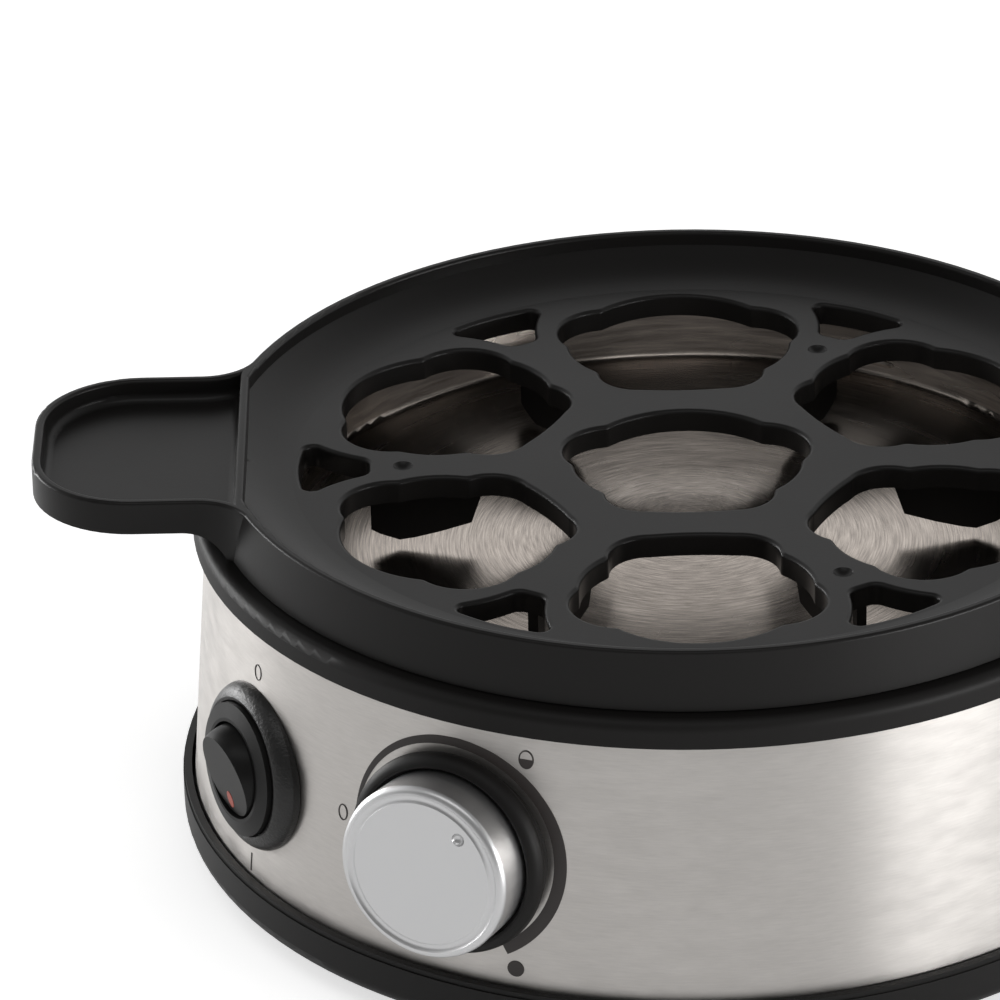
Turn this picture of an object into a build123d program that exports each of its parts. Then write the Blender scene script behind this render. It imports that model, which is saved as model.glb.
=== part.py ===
"""Electric egg boiler with seven seats: carrier tray, heating pan, shell, base and controls.

Millimetres, +Z up. The origin is the centre of the plane that the four feet stand on.
+X runs along the two tray handles and -Y is the front, where the dial and the switch are.
"""
from build123d import *
import math
import os

# ---------------------------------------------------------------- driving dimensions
# Egg tray
deck_top = 71.0            # height of the tray's deck above the table
deck_thickness = 2.2
seat_pitch = 48.6          # centre seat to any outer seat
seat_count = 6             # outer seats round the centre one
collar_depth = 4.2         # seat walls below the deck's top
collar_wall = 1.4
slot_margin = 1.4          # flat deck outside a slot
slot_length = 12.4
slot_half_tip = 2.8
slot_half_base = 10.6
slot_wall = 1.2            # least wall of the steam slots below the deck
cusp_round = 1.5           # rounding where two lobes of a seat meet
slot_round = 1.7           # rounding of a slot's two outer corners
slot_tip_round = 2.4
edge_round = 0.8           # rounding of the seat and slot edges
tray_radius = 84.25        # outside of the rim at its top
rim_height = 6.5           # rim above the deck
rim_wall = 1.7
rim_round = 0.6
skirt_flare = 1.2          # the skirt's lower edge stands out this far past the rim
skirt_wall = 1.75
skirt_drop = 4.3           # skirt's lower edge below the deck's top
dish_width = 11.55         # curved rise from the flat deck to the rim's inner wall
dish_curve = 19.2          # radius of that rise
rib_thickness = 2.0
rib_drop = 14.4            # rib's lowest point below the deck's top
dimple_radius = 1.8
dimple_depth = 0.9
dimple_circle = 51.05

# Tray handles
handle_length = 32.75      # how far a handle stands out past the rim
handle_half_width = 25.2
handle_height = 6.2
handle_floor = 2.0
handle_neck = 8.0          # length of the curve from the skirt out to the handle's underside
well_round = 1.6
ridge_inset = 3.75         # straight ridge between a handle's well and the dish
ridge_thickness = 1.6

# Top ring
ring_overhang = 3.55       # ring beyond the tray's skirt
ring_wall = 1.9
ring_height = 5.1
ring_shoulder = 2.1
ring_gap = 0.3             # running gap between the tray's skirt and the ring
spigot_gap = 0.9           # between the tray's skirt and the upstand that centres it
spigot_wall = 1.2
spigot_height = 1.8
ledge_gap = 0.7            # between the pan's wall and the ledge that carries its flange
ledge_thickness = 2.0
ledge_drop = 2.6           # ledge below the ring's top
groove_gap = 0.3           # round the shell's top edge in the ring's groove
groove_depth = 2.9
post_radius = 3.2          # screw posts under the ring
post_inset = 4.5           # posts inside the shell's top
post_angles = (30, 150, 270)
post_gap = 0.3             # between a post and the boss below it

# Heating pan
pan_sheet = 0.8
pan_draft = 3.2            # lean of the pan's wall
pan_flange_width = 2.8
pan_flange_gap = 0.2       # between the flange and the ring's upstand
pan_depth = 16.0           # pan floor below the tray's deck
pan_dome = 3.7             # rise of the floor at the centre
pan_dome_radius = 50.0
pan_corner = 1.7
seal_thickness = 0.6
seal_width = 1.4

# Heater under the pan
spreader_width = 25.0
spreader_margin = 4.4      # between the spreader and the pan's lower corner
spreader_thickness = 3.0
element_inset = 15.0       # element's ring inside the spreader's edge
element_radius = 3.25
element_fit = 0.03          # round the element in the spreader's groove
element_sunk = 1.4         # how far the element's centre lies below the spreader
element_gap_angle = 40.0
element_bend = 5.4
element_leg_length = 4.0
element_pin_radius = 1.4
element_pin_length = 8.0
stud_radius = 2.0
stud_fit = 0.3
stud_inset = 5.5
stud_angles = (60, 180, 300)
nut_height = 3.2
nut_across_flats = 7.0
shield_inset = 0.5
shield_drop = 10.0         # heat shield below the pan's underside
shield_sheet = 0.6
shield_lip = 3.0
clamp_sheet = 1.0
clamp_width = 12.0
clamp_riser_gap = 1.0      # between the pan's rim and a clamp's riser
clamp_foot = 3.8           # length of a clamp's foot beyond its riser
thermostat_radius = 7.5
thermostat_height = 6.2
bracket_span = 26.0
bracket_foot = 6.0
bracket_width = 18.0
earth_tab_offset = 36.0
fuse_radius = 1.9
fuse_length = 11.0

# Steel shell
shell_sheet = 0.6
shell_slope = 0.0725       # growth of the radius per millimetre downwards
shell_set_back = 2.2       # shell inside the ring's outer face
face_gap = 0.05            # between the shell and what is pressed onto it
hole_fit = 0.15            # between a hole in the shell and what passes through it

# Base
base_top = 12.7
base_wall = 1.6
lip_gap = 0.27             # between the shell and the base's lip
base_bottom = 3.6          # underside of the base above the table
base_floor = 2.2
base_corner = 3.0
base_land = 1.4            # inner wall that the shell stands against
lip_bead = 1.0             # stepped bead along the lip's top edge
shell_tuck = 5.6           # how far the shell goes down behind the base's lip
foot_radius = 9.0
foot_inset = 16.8          # feet inside the shell's top
foot_angles = (60, 120, 240, 300)
foot_seat = 1.0
vent_count = 18
vent_rows = (30.0, 42.0, 54.0)
vent_width = 3.0
vent_length = 7.0
boss_radius = 4.6
boss_top = 22.0
screw_head_radius = 2.9
screw_head_height = 2.2
screw_radius = 1.5
screw_length = 30.0
screw_fit = 0.05
screw_seat = 1.4           # screw head's seat above the base's floor

# Dial on the shell
dial_angle = 241.0
dial_height = 36.6
collar_radius = 18.55
collar_neck = 17.4
collar_floor = 2.0
collar_rise = 4.3
collar_bore = 16.15
cap_radius = 15.9
cap_draft = 0.25
cap_back = 2.6
cap_front = 11.7
cap_wall = 1.4
cap_bevel = 1.3
cap_groove = 0.35
cap_dimple = 1.3
cap_dimple_circle = 10.75
cap_dimple_angle = 49.2
hub_radius = 6.6
hub_fit = 0.02
shaft_radius = 3.0
shaft_fit = 0.04
bushing_radius = 3.5
bushing_front = 6.2
pot_radius = 8.5
pot_front = -1.2
pot_depth = 9.0
pot_nut_flats = 10.0
pot_nut_height = 2.2

# Rocker switch on the shell
switch_angle = 208.4
switch_height = 33.75
bezel_radius = 15.3
bezel_edge = 0.1
bezel_crest = 12.9
bezel_rise = 2.75
bezel_groove = 0.3         # round the switch's flange
flange_radius = 12.05
flange_back = 1.2
flange_front = 4.3
flange_edge = 3.6
switch_body_radius = 9.9
switch_body_depth = 14.0
recess_radius = 8.8
recess_floor = -6.6
rocker_ball = 8.45         # the rocker is a slice of this ball, so it turns in a round recess
rocker_pivot = 2.4
rocker_crown = 3.48        # flat face above the pivot
rocker_keel = 5.0
rocker_tilt = 15.5         # to each side of the middle
trunnion_radius = 1.2
trunnion_reach = 9.5
trunnion_fit = 0.05
lens_half_width = 1.1
lens_half_length = 1.7
lens_place = -5.0
lens_depth = 1.4
blade_width = 4.8
blade_thickness = 0.8
blade_length = 7.5

# Control board
board_depth = 12.0         # board's outer face behind the shell
board_thickness = 1.6
board_half_width = 21.0
board_below = 24.0
board_above = 10.0
board_screw_side = 16.5
board_screw_below = 19.5
board_screw_radius = 1.3
board_screw_length = 7.0
board_post_depth = 7.0
board_post_width = 8.0
board_post_above = 3.0

# Cord gland at the back
gland_angle = 90.0
gland_height = 26.0
gland_flange = 8.0
gland_neck = 5.4
gland_bore = 3.3
gland_nose = 5.2855
terminal_size = (26.0, 13.0, 12.0)
terminal_pitch = 8.0
terminal_well = 2.0
terminal_well_depth = 5.0
relay_size = (15.0, 19.0, 11.0)

# ---------------------------------------------------------------- worked-out sizes
rim_top = deck_top + rim_height
skirt_radius = tray_radius + skirt_flare
dish_flat_radius = tray_radius - rim_wall - dish_width
ridge_outer = tray_radius - ridge_inset
slot_outer = dish_flat_radius - slot_margin
handle_reach = tray_radius + handle_length
handle_corner = 0.565 * handle_length
handle_root = 0.305 * handle_length
ring_radius = skirt_radius + ring_overhang
shell_top_radius = ring_radius - shell_set_back
post_circle = shell_top_radius - post_inset
foot_circle = shell_top_radius - foot_inset
terminal_offset = foot_circle
skirt_bottom = deck_top - skirt_drop
ring_top = skirt_bottom - ring_gap
ring_bottom = ring_top - ring_height
ledge_top = ring_top - ledge_drop
ledge_bottom = ledge_top - ledge_thickness
pan_floor_top = deck_top - pan_depth
pan_under = pan_floor_top - pan_sheet
pan_flange_under = ledge_top + seal_thickness
shell_top = ring_bottom + groove_depth - face_gap
shell_bottom = base_top - shell_tuck
floor_top = base_bottom + base_floor
shield_top = pan_under - shield_drop
clamp_bottom = shield_top - shield_sheet - clamp_sheet
post_bottom = boss_top + post_gap
screw_start = floor_top + screw_seat
spigot_radius = skirt_radius - skirt_wall - spigot_gap
spigot_inner = spigot_radius - spigot_wall
pan_flange_radius = spigot_inner - pan_flange_gap
pan_rim_radius = pan_flange_radius - pan_flange_width
pan_floor_radius = pan_rim_radius - pan_draft
spreader_outer = pan_floor_radius - spreader_margin
spreader_inner = spreader_outer - spreader_width
element_circle = spreader_outer - element_inset
stud_circle = spreader_outer - stud_inset
shield_radius = spreader_outer - shield_inset
clamp_riser_radius = pan_rim_radius + clamp_riser_gap
clamp_foot_radius = clamp_riser_radius + clamp_foot
ledge_inner = pan_rim_radius + ledge_gap
groove_inner = shell_top_radius - shell_sheet - 2 * groove_gap
dome_radius = (pan_dome_radius**2 / 4 + pan_dome**2 / 4) / pan_dome
lip_inner = shell_top_radius + (ring_bottom - shell_bottom) * shell_slope + lip_gap
base_radius = lip_inner + base_wall


# ---------------------------------------------------------------- helpers


def polar(radius, angle, height=0.0):
    """Point at a radius and an angle in degrees round the boiler's axis."""
    turn = math.radians(angle)
    return Vector(radius * math.cos(turn), radius * math.sin(turn), height)


def at_angles(angles, radius, height=0.0):
    """Places round the axis, each with its X axis pointing outwards."""
    return [Pos(0, 0, height) * Rot(0, 0, angle) * Pos(radius, 0, 0) for angle in angles]


def turned(outline):
    """Solid of revolution round Z from a closed outline of radius and height."""
    return revolve(Plane.XZ * make_face(outline), Axis.Z)


def turned_points(*points):
    """Solid of revolution round Z from a closed chain of radius and height points."""
    return turned(Polyline(*points, close=True))


def disc(radius, bottom, top):
    """Upright cylinder between two heights."""
    return Pos(0, 0, bottom) * extrude(Circle(radius), top - bottom)


def tube(outer, inner, bottom, top):
    """Upright tube between two heights."""
    return Pos(0, 0, bottom) * extrude(Circle(outer) - Circle(inner), top - bottom)


def hexagon(flats, bottom, top):
    """Hexagonal prism given by its width across flats."""
    return Pos(0, 0, bottom) * extrude(RegularPolygon(flats / 2, 6, major_radius=False), top - bottom)


def copies(solid, places):
    """One group of separate equal solids."""
    return Compound(children=[place * solid for place in places])


# ---------------------------------------------------------------- places on the shell


def shell_radius(height):
    """Outside radius of the conical shell at a height."""
    return shell_top_radius + (ring_bottom - height) * shell_slope


def shell_plane(angle, height):
    """Plane that touches the shell, with Z straight out, X to the right and Y up."""
    tilt = math.atan(shell_slope)
    level = polar(math.cos(tilt), angle)
    outward = Vector(level.X, level.Y, math.sin(tilt))
    rightward = Vector(-math.sin(math.radians(angle)), math.cos(math.radians(angle)), 0)
    return Plane(origin=polar(shell_radius(height), angle, height), x_dir=rightward, z_dir=outward)


def dial_plane():
    """Seat of the dial."""
    return shell_plane(dial_angle, dial_height)


def switch_plane():
    """Seat of the rocker switch."""
    return shell_plane(switch_angle, switch_height)


def gland_plane():
    """Seat of the cord gland."""
    return shell_plane(gland_angle, gland_height)


def shell_core(gap=0.0):
    """Solid cone inside the shell's outer face, grown by a gap."""
    low, high = 0.0, rim_top
    return turned_points(
        (0, low), (shell_radius(low) + gap, low), (shell_radius(high) + gap, high), (0, high)
    )


# ---------------------------------------------------------------- egg tray


def arcs(lobes):
    """Chain of arcs, each given by its start, a point on it and its end."""
    return [ThreePointArc(*lobe) for lobe in lobes]


def mirrored_x(lobes):
    """The same arcs with X reversed, in the order that goes on round the outline."""
    return [tuple((-x, y) for x, y in reversed(lobe)) for lobe in reversed(lobes)]


def soft_face(lobes):
    """Face inside a chain of arcs, with the cusps between them rounded."""
    sharp = make_face(Curve() + arcs(lobes))
    return fillet(sharp.vertices(), cusp_round)


def seat_face():
    """Egg seat from above: scalloped sides, a rounded crown on +Y and a flatter foot on -Y."""
    side = [
        ((14.0, 14.0), (21.4, 8.6), (20.4, -0.6)),
        ((20.4, -0.6), (18.9, -6.6), (15.0, -11.8)),
        ((15.0, -11.8), (12.9, -17.2), (7.5, -19.3)),
    ]
    crown = [((-14.0, 14.0), (0.0, 20.0), (14.0, 14.0))]
    foot = [((7.5, -19.3), (0.0, -19.8), (-7.5, -19.3))]
    return soft_face(side + foot + mirrored_x(side) + crown)


def slot_face():
    """Rounded triangular steam slot near the rim, with its base outwards on +X."""
    corner = (slot_outer - slot_margin, slot_half_base)
    tip = (slot_outer - slot_length, slot_half_tip)
    hollow = ((corner[0] + tip[0]) / 2 - 0.4, (corner[1] + tip[1]) / 2 - 1.4)
    sides = [
        ThreePointArc((corner[0], -corner[1]), (slot_outer, 0), corner),
        ThreePointArc(corner, hollow, tip),
        Line(tip, (tip[0], -tip[1])),
        ThreePointArc((tip[0], -tip[1]), (hollow[0], -hollow[1]), (corner[0], -corner[1])),
    ]
    sharp = make_face(Curve() + sides)
    blunt = fillet(sharp.vertices().sort_by(Axis.X)[:2], slot_tip_round)
    return fillet(blunt.vertices().sort_by(Axis.X)[-2:], slot_round)


def slot_collar_face():
    """Straight-sided rounded triangle round a slot, for the wall below the deck."""
    inner = slot_outer - slot_length - 1.5 * slot_wall
    outer = slot_outer + slot_wall - 0.2
    half_tip = slot_half_tip + 0.5
    half_base = slot_half_base + 1.0
    outline = Polyline(
        (inner, half_tip), (outer, half_base), (outer, -half_base), (inner, -half_tip), close=True
    )
    sharp = make_face(outline)
    blunt = fillet(sharp.vertices().sort_by(Axis.X)[:2], slot_tip_round + slot_wall / 2)
    return fillet(blunt.vertices().sort_by(Axis.X)[-2:], slot_round + slot_wall)


def seat_places():
    """Centre seat first, then the outer seats with their crowns outwards."""
    step = 360.0 / seat_count
    outer = [Rot(0, 0, step * i) * Pos(0, seat_pitch, 0) for i in range(seat_count)]
    return [Pos(0, 0, 0)] + outer


def slot_places():
    """Slots between the outer seats."""
    step = 360.0 / seat_count
    return [Rot(0, 0, step * i) for i in range(seat_count)]


def tray_plan():
    """Tray from above: the round rim with a handle at each end, blended at the roots."""
    bar = RectangleRounded(2 * handle_reach, 2 * handle_half_width, handle_corner)
    plan = Circle(tray_radius) + bar
    roots = [v for v in plan.vertices() if math.hypot(v.X, v.Y) < tray_radius + 0.01]
    return fillet(roots, handle_root)


def on_curve(radius, curve):
    """Point of a curve about the dish's centre of curvature, at a radius from the axis."""
    run = radius - dish_flat_radius
    return (radius, deck_top + dish_curve - math.sqrt(curve**2 - run**2))


def dish_cut():
    """Space above the deck and inside the rim."""
    wall = tray_radius - rim_wall
    middle = (dish_flat_radius + wall) / 2
    outline = Curve() + [
        Line((0, deck_top), (dish_flat_radius, deck_top)),
        ThreePointArc((dish_flat_radius, deck_top), on_curve(middle, dish_curve), on_curve(wall, dish_curve)),
        Line(on_curve(wall, dish_curve), (wall, rim_top + 1)),
        Line((wall, rim_top + 1), (0, rim_top + 1)),
        Line((0, rim_top + 1), (0, deck_top)),
    ]
    side = 2 * (ridge_outer - ridge_thickness)
    return turned(outline) & Pos(0, 0, rim_top) * Box(side, 4 * tray_radius, 4 * rim_height)


def under_cut():
    """Space under the deck and inside the skirt."""
    under = dish_curve + deck_thickness
    top_radius = tray_radius - rim_wall - 0.35
    low = skirt_radius - skirt_wall
    middle = (dish_flat_radius + top_radius) / 2
    flat = deck_top - deck_thickness
    outline = Curve() + [
        Line((0, flat), (dish_flat_radius, flat)),
        ThreePointArc((dish_flat_radius, flat), on_curve(middle, under), on_curve(top_radius, under)),
        Line(on_curve(top_radius, under), (low, skirt_bottom)),
        Line((low, skirt_bottom), (low, skirt_bottom - 1)),
        Line((low, skirt_bottom - 1), (0, skirt_bottom - 1)),
        Line((0, skirt_bottom - 1), (0, flat)),
    ]
    return turned(outline)


def tray_side():
    """Tray from the front, as a prism: the skirt in the middle and the raised handles."""
    under = rim_top - handle_height
    start = tray_radius - 2.2
    radius = (handle_neck**2 + (under - skirt_bottom) ** 2) / (2 * (under - skirt_bottom))
    bend = math.radians(60)
    centre = (start + handle_neck, under - radius)
    middle = (centre[0] - radius * math.cos(bend), centre[1] + radius * math.sin(bend))
    reach = handle_reach + 1
    right = [
        Line((0, skirt_bottom), (start, skirt_bottom)),
        ThreePointArc((start, skirt_bottom), middle, (start + handle_neck, under)),
        Line((start + handle_neck, under), (reach, under)),
        Line((reach, under), (reach, rim_top)),
        Line((reach, rim_top), (0, rim_top)),
        Line((0, rim_top), (0, skirt_bottom)),
    ]
    half = extrude(Plane.XZ * make_face(Curve() + right), 2 * handle_half_width, both=True)
    return half + mirror(half, Plane.YZ)


def handle_well():
    """Shallow well of the right-hand handle, with a rounded floor edge."""
    inside = offset(tray_plan(), -rim_wall)
    end = Pos(ridge_outer + tray_radius, 0) * Rectangle(2 * tray_radius, 4 * handle_half_width)
    floor = rim_top - handle_height + handle_floor
    pocket = Pos(0, 0, floor) * extrude(inside & end, handle_height)
    low = pocket.faces().sort_by(Axis.Z)[0]
    return fillet(low.edges(), well_round)


def rib():
    """Hanging web between two outer seats, whose lower edge holds an egg off the pan."""
    low = deck_top - rib_drop
    deck = deck_top - deck_thickness / 2
    outline = Polyline(
        (57.0, deck), (57.0, low + 2.2), (55.5, low + 1.3), (51.9, low), (49.2, low + 0.4),
        (44.6, low + 1.5), (38.9, low + 3.2), (35.5, deck), close=True,
    )
    return extrude(Plane.XZ * make_face(outline), rib_thickness / 2, both=True)


def dimple():
    """Small dent in the deck."""
    radius = (dimple_radius**2 + dimple_depth**2) / (2 * dimple_depth)
    return Pos(dimple_circle, 0, deck_top + radius - dimple_depth) * Sphere(radius)


def egg_tray():
    """Carrier tray with seven egg seats, steam slots and two dished handles."""
    flare = turned_points(
        (0, skirt_bottom), (skirt_radius, skirt_bottom), (tray_radius, rim_top), (0, rim_top)
    )
    block = Pos(0, 0, skirt_bottom) * extrude(tray_plan(), rim_top - skirt_bottom)
    tray = flare + (block & tray_side())
    tray = tray - under_cut() - dish_cut()
    well = handle_well()
    tray = tray - well - mirror(well, Plane.YZ)
    collar_bottom = deck_top - collar_depth
    collar_height = collar_depth - deck_thickness / 2
    seat = seat_face()
    slot = slot_face()
    seat_collar = Pos(0, 0, collar_bottom) * extrude(offset(seat, collar_wall), collar_height)
    slot_collar = Pos(0, 0, collar_bottom) * extrude(slot_collar_face(), collar_height)
    tray = tray + [place * rib() for place in slot_places()]
    tray = tray + [place * seat_collar for place in seat_places()]
    tray = tray + [place * slot_collar for place in slot_places()]
    seat_cut = Pos(0, 0, skirt_bottom - pan_depth) * extrude(seat, 2 * pan_depth)
    slot_cut = Pos(0, 0, skirt_bottom - pan_depth) * extrude(slot, 2 * pan_depth)
    tray = tray - [place * seat_cut for place in seat_places()]
    tray = tray - [place * slot_cut for place in slot_places()]
    level = [f for f in tray.faces().filter_by(Axis.Z) if abs(f.center().Z - deck_top) < 0.01]
    deck = max(level, key=lambda face: face.area)
    openings = [edge for wire in deck.inner_wires() for edge in wire.edges()]
    tray = fillet(openings, edge_round)
    rim = [f for f in tray.faces().filter_by(Axis.Z) if abs(f.center().Z - rim_top) < 0.01]
    tray = fillet([edge for face in rim for edge in face.edges()], rim_round)
    return tray - [Rot(0, 0, angle) * dimple() for angle in (60, 180, 300)]


# ---------------------------------------------------------------- top ring and pan


def ring_section():
    """Half section of the ring: rounded outer lip, groove for the shell, ledge and spigot."""
    groove_top = ring_bottom + groove_depth
    outline = Polyline(
        (ledge_inner, ledge_bottom),
        (groove_inner, ledge_bottom),
        (groove_inner, groove_top),
        (ring_radius - ring_wall, groove_top),
        (ring_radius - ring_wall, ring_bottom),
        (ring_radius, ring_bottom),
        (ring_radius, ring_top),
        (spigot_radius, ring_top),
        (spigot_radius, ring_top + spigot_height),
        (spigot_inner, ring_top + spigot_height),
        (spigot_inner, ledge_top),
        (ledge_inner, ledge_top),
        close=True,
    )
    section = make_face(outline)
    corner = section.vertices().sort_by_distance(Vector(ring_radius, ring_top))[0]
    return fillet(corner, ring_shoulder)


def top_ring():
    """Black ring that joins the shell, the pan and the three screw posts."""
    ring = revolve(Plane.XZ * ring_section(), Axis.Z)
    post = disc(post_radius, post_bottom, ledge_bottom + ledge_thickness / 2)
    pilot = disc(screw_radius + screw_fit, post_bottom - 1, screw_start + screw_length + 1)
    ring = ring + [place * post for place in at_angles(post_angles, post_circle)]
    return ring - [place * pilot for place in at_angles(post_angles, post_circle)]


def dome_sag(radius):
    """Fall of the pan's domed floor from its centre out to a radius near the centre."""
    return dome_radius - math.sqrt(dome_radius**2 - radius**2)


def pan_line():
    """Middle line of the pan's sheet from the axis out to the edge of its flange."""
    low = pan_floor_top - pan_sheet / 2
    high = pan_flange_under + pan_sheet / 2
    half = pan_dome_radius / 2
    rise = pan_dome / 2
    quarter = half / 2
    sag = dome_sag(quarter)
    crown = ThreePointArc((0, low + pan_dome), (quarter, low + pan_dome - sag), (half, low + rise))
    hollow = ThreePointArc((half, low + rise), (half + quarter, low + sag), (2 * half, low))
    rim = FilletPolyline(
        (pan_dome_radius, low), (pan_floor_radius, low), (pan_rim_radius, high),
        (pan_flange_radius, high), radius=pan_corner,
    )
    return Curve() + [crown, hollow, rim]


def heating_pan():
    """Pressed pan with a gently domed floor and a narrow flange."""
    return revolve(Plane.XZ * trace(pan_line(), pan_sheet), Axis.Z)


def pan_seal():
    """Silicone ring between the pan's flange and the ring's ledge."""
    outer = pan_flange_radius
    return tube(outer, outer - seal_width, ledge_top, ledge_top + seal_thickness)


# ---------------------------------------------------------------- heater under the pan


def element_level():
    """Height of the element's centre."""
    return pan_under - spreader_thickness - element_sunk


def heat_spreader():
    """Aluminium ring under the pan, grooved for the element and drilled for the studs."""
    plate = tube(spreader_outer, spreader_inner, pan_under - spreader_thickness, pan_under)
    groove = Pos(0, 0, element_level()) * Torus(element_circle, element_radius + element_fit)
    hole = disc(stud_radius + stud_fit, pan_under - 2 * spreader_thickness, pan_under + 1)
    return plate - groove - [place * hole for place in at_angles(stud_angles, stud_circle)]


def element_end(side):
    """End of the element's ring, and the way it runs on into the gap at the front."""
    angle = -90 + side * element_gap_angle / 2
    return polar(element_circle, angle, element_level()), polar(1, angle - side * 90)


def element_leg(side):
    """Elbow and straight leg that turn one end of the element down."""
    end, onward = element_end(side)
    down = Vector(0, 0, -1)
    centre = end + down * element_bend
    half = math.sqrt(0.5)
    middle = centre + (onward - down) * (element_bend * half)
    corner = centre + onward * element_bend
    return [ThreePointArc(end, middle, corner), Line(corner, corner + down * element_leg_length)]


def heating_element():
    """Sheathed element: an open ring whose two ends turn down to their pins."""
    far = polar(element_circle, 90, element_level())
    ring = ThreePointArc(element_end(-1)[0], far, element_end(1)[0])
    left_elbow, left_leg = element_leg(-1)
    right_elbow, right_leg = element_leg(1)
    path = Wire([left_leg.edge(), left_elbow.edge(), ring.edge(), right_elbow.edge(), right_leg.edge()])
    body = sweep(Plane(left_leg @ 1, z_dir=(0, 0, 1)) * Circle(element_radius), path=path)
    pin = Pos(0, 0, -element_pin_length) * extrude(Circle(element_pin_radius), element_pin_length + 1)
    return body + [Pos(*(leg @ 1)) * pin for leg in (left_leg, right_leg)]


def pan_studs():
    """Studs welded to the pan's underside."""
    stud = disc(stud_radius, clamp_bottom - nut_height - 1.2, pan_under)
    return copies(stud, at_angles(stud_angles, stud_circle))


def stud_nuts():
    """Nuts that draw the pan, the shield and the clamps together."""
    nut = hexagon(nut_across_flats, clamp_bottom - nut_height, clamp_bottom)
    nut = nut - disc(stud_radius + screw_fit, 0, pan_under)
    return copies(nut, at_angles(stud_angles, stud_circle))


def heat_shield():
    """Sheet dish that keeps the element's heat off the controls."""
    shield = disc(shield_radius, shield_top - shield_sheet, shield_top + shield_lip)
    shield = shield - disc(shield_radius - shield_sheet, shield_top, shield_top + 2 * shield_lip)
    stud_hole = disc(stud_radius + stud_fit, 0, pan_under)
    shield = shield - [place * stud_hole for place in at_angles(stud_angles, stud_circle)]
    leg_hole = disc(element_radius + 1, 0, pan_under)
    for side in (-1, 1):
        leg = element_leg(side)[1] @ 1
        shield = shield - Pos(leg.X, leg.Y, 0) * leg_hole
    return shield - disc(thermostat_radius - 1, 0, pan_under)


def pan_clamps():
    """Sheet brackets that reach from the studs up under the ring's ledge."""
    profile = Polyline(
        (stud_circle - 5, clamp_bottom),
        (clamp_riser_radius + clamp_sheet, clamp_bottom),
        (clamp_riser_radius + clamp_sheet, ledge_bottom - clamp_sheet),
        (clamp_foot_radius, ledge_bottom - clamp_sheet),
        (clamp_foot_radius, ledge_bottom),
        (clamp_riser_radius, ledge_bottom),
        (clamp_riser_radius, clamp_bottom + clamp_sheet),
        (stud_circle - 5, clamp_bottom + clamp_sheet),
        close=True,
    )
    clamp = extrude(Plane.XZ * make_face(profile), clamp_width / 2, both=True)
    clamp = clamp - Pos(stud_circle, 0, 0) * disc(stud_radius + stud_fit, 0, pan_under)
    return copies(clamp, at_angles(stud_angles, 0))


def thermostat_top():
    """Height of the thermostat's flat top, just under the pan's dome."""
    return pan_under + pan_dome - dome_sag(thermostat_radius) - face_gap


def thermostat():
    """Boil-dry thermostat under the middle of the pan, with two blades."""
    top = thermostat_top()
    cap = disc(thermostat_radius, top - thermostat_height / 2, top)
    body = disc(thermostat_radius - 1.2, top - thermostat_height, top)
    blade = Pos(0, 0, top - thermostat_height - blade_length / 2)
    blade = blade * Box(blade_thickness, blade_width, blade_length + 1)
    return cap + body + [Pos(x, 0, 0) * blade for x in (-3, 3)]


def thermostat_bracket():
    """Spring bridge that stands on the shield and presses the thermostat to the pan."""
    top = thermostat_top() - thermostat_height / 2
    sheet = shield_sheet
    profile = Polyline(
        (bracket_span + bracket_foot, shield_top),
        (bracket_span + bracket_foot, shield_top + sheet),
        (bracket_span, shield_top + sheet),
        (bracket_span - 5, top),
        (0, top),
        (0, top - sheet),
        (bracket_span - 5 - sheet, top - sheet),
        (bracket_span - sheet, shield_top),
        close=True,
    )
    half = extrude(Plane.XZ * make_face(profile), bracket_width / 2, both=True)
    opening = disc(thermostat_radius - 1.1, shield_top, thermostat_top())
    return half + mirror(half, Plane.YZ) - opening


def thermal_fuse():
    """One-shot fuse under the heat spreader, with two short leads."""
    level = pan_under - spreader_thickness - fuse_radius - face_gap
    barrel = Cylinder(fuse_radius, fuse_length)
    lead = Cylinder(fuse_radius / 4, 2.2 * fuse_length)
    return Pos(0, spreader_inner + 1.6 * fuse_radius, level) * Rot(0, 90, 0) * (barrel + lead)


def earth_tab():
    """Earthing blade on the underside of the shield."""
    top = shield_top - shield_sheet
    foot = Pos(0, 0, top - blade_thickness / 2) * Box(8, 8, blade_thickness)
    blade = Pos(4 - blade_thickness / 2, 0, top - blade_length / 2)
    blade = blade * Box(blade_thickness, blade_width, blade_length)
    return Pos(-earth_tab_offset, 0, 0) * (foot + blade)


# ---------------------------------------------------------------- shell and base


def body_shell():
    """Rolled steel shell with the openings for the dial, the switch and the cord gland."""
    high, low = shell_top, shell_bottom
    shell = turned_points(
        (shell_radius(high) - shell_sheet, high),
        (shell_radius(high), high),
        (shell_radius(low), low),
        (shell_radius(low) - shell_sheet, low),
    )
    dial_hole = dial_plane() * Cylinder(bushing_radius + hole_fit, 20)
    switch_hole = switch_plane() * Cylinder(switch_body_radius + hole_fit, 20)
    gland_hole = gland_plane() * Cylinder(gland_neck + hole_fit, 20)
    return shell - dial_hole - switch_hole - gland_hole


def board_posts():
    """Two posts of the base that the control board is screwed to."""
    back = board_depth + board_thickness
    height = 2 * dial_height
    post = Pos(0, board_post_above - board_screw_below - height / 2, -back - board_post_depth / 2)
    post = post * Box(board_post_width, height, board_post_depth)
    pilot = Pos(0, -board_screw_below, -back - board_post_depth / 2)
    pilot = pilot * Cylinder(board_screw_radius + screw_fit, board_post_depth + 2)
    solid = post - pilot
    pair = [dial_plane() * Pos(side * board_screw_side, 0, 0) * solid for side in (-1, 1)]
    return [post & disc(lip_inner - 8, floor_top - base_floor / 2, rim_top) for post in pair]


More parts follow.
